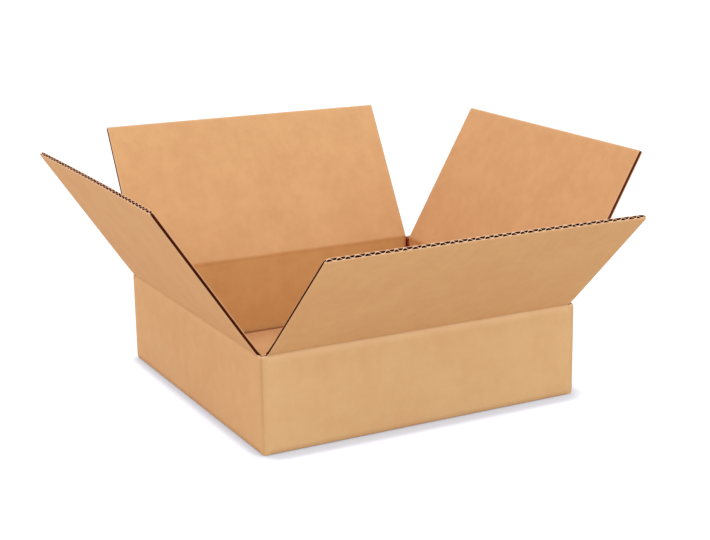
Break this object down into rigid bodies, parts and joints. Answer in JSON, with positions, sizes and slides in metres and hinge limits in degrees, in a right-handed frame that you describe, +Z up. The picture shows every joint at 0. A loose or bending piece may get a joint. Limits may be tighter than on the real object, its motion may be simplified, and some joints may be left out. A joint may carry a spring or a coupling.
{
  "type": "corrugated cardboard box",
  "caption": "Shallow square corrugated cardboard box standing open, with its top flaps folded outwards, a closed flat bottom and a glued lap at one corner.",
  "frame": {"origin": "centre of the box's underside, on the surface that it stands on", "axes": "+Z up; -Y towards the front wall, whose flap stands open widest; +X towards the right wall"},
  "size_m": [0.4756, 0.4998, 0.2219],
  "materials": {
    "kraft_board": "uncoated brown kraft paper, matt"
  },
  "bodies": {
    "carton": {"carton": "kraft_board"},
    "front_flap": {"front_flap": "kraft_board"},
    "right_flap": {"right_flap": "kraft_board"},
    "back_flap": {"back_flap": "kraft_board"},
    "left_flap": {"left_flap": "kraft_board"}
  },
  "joints": [
    {"name": "front_crease", "type": "hinge", "parent": "carton", "child": "front_flap", "pos_m": [0, -0.15332, 0.08822], "axis": [1, 0, 0], "range_deg": [-137, 73]},
    {"name": "right_crease", "type": "hinge", "parent": "carton", "child": "right_flap", "pos_m": [0.15548, 0, 0.08607], "axis": [0, 1, 0], "range_deg": [-120, 90]},
    {"name": "back_crease", "type": "hinge", "parent": "carton", "child": "back_flap", "pos_m": [0, 0.15332, 0.08822], "axis": [-1, 0, 0], "range_deg": [-120, 90]},
    {"name": "left_crease", "type": "hinge", "parent": "carton", "child": "left_flap", "pos_m": [-0.15548, 0, 0.08607], "axis": [0, -1, 0], "range_deg": [-123.5, 86.5]}
  ]
}
